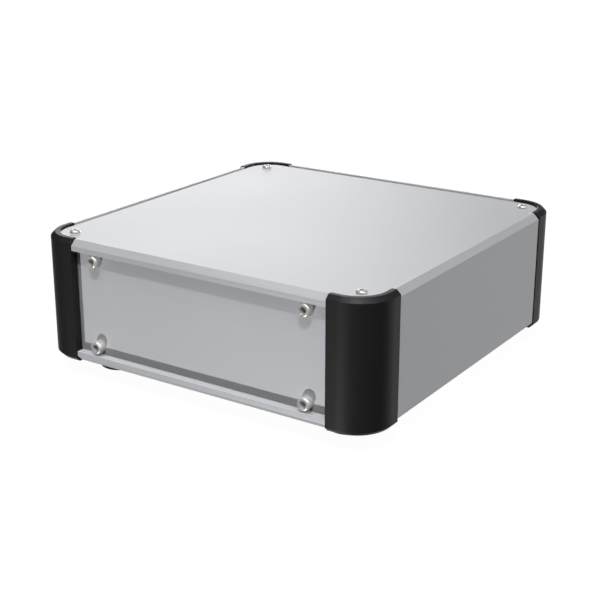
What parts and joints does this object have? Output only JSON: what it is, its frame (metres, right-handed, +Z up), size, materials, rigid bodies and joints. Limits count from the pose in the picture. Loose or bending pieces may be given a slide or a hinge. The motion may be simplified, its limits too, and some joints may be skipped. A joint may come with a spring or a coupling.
{
  "type": "extruded aluminium enclosure",
  "caption": "Low square aluminium case with black corner guards, recessed front and rear panels, sunk covers and rubber feet.",
  "frame": {"origin": "centre of the case on the surface that its feet stand on", "axes": "+X to the right and +Y to the rear as seen from the front panel, +Z up"},
  "size_m": [0.201, 0.201, 0.0756],
  "materials": {
    "anodised_extrusion": "satin clear anodised, fine lines along the extrusion",
    "anodised_cover": "satin clear anodised, finely brushed",
    "anodised_panel": "satin clear anodised, finely brushed",
    "guard_plastic": "black moulded plastic with a fine satin grain",
    "screw_steel": "bright zinc-plated or stainless steel",
    "foot_rubber": "matt black rubber"
  },
  "bodies": {
    "root": {"side_panel_right": "anodised_extrusion", "side_panel_left": "anodised_extrusion", "rail_front_top": "anodised_extrusion", "rail_front_bottom": "anodised_extrusion", "rail_rear_top": "anodised_extrusion", "rail_rear_bottom": "anodised_extrusion", "top_cover": "anodised_cover", "bottom_cover": "anodised_cover", "front_panel": "anodised_panel", "rear_panel": "anodised_panel", "corner_guard_front_right": "guard_plastic", "corner_guard_front_left": "guard_plastic", "corner_guard_rear_right": "guard_plastic", "corner_guard_rear_left": "guard_plastic", "top_screw_front_right": "screw_steel", "top_screw_front_left": "screw_steel", "top_screw_rear_right": "screw_steel", "top_screw_rear_left": "screw_steel", "bottom_screw_front_right": "screw_steel", "bottom_screw_front_left": "screw_steel", "bottom_screw_rear_right": "screw_steel", "bottom_screw_rear_left": "screw_steel", "upper_panel_screw_front_right": "screw_steel", "upper_panel_screw_front_left": "screw_steel", "upper_panel_screw_rear_right": "screw_steel", "upper_panel_screw_rear_left": "screw_steel", "lower_panel_screw_front_right": "screw_steel", "lower_panel_screw_front_left": "screw_steel", "lower_panel_screw_rear_right": "screw_steel", "lower_panel_screw_rear_left": "screw_steel", "foot_front_right": "foot_rubber", "foot_front_left": "foot_rubber", "foot_rear_right": "foot_rubber", "foot_rear_left": "foot_rubber"}
  },
  "joints": []
}
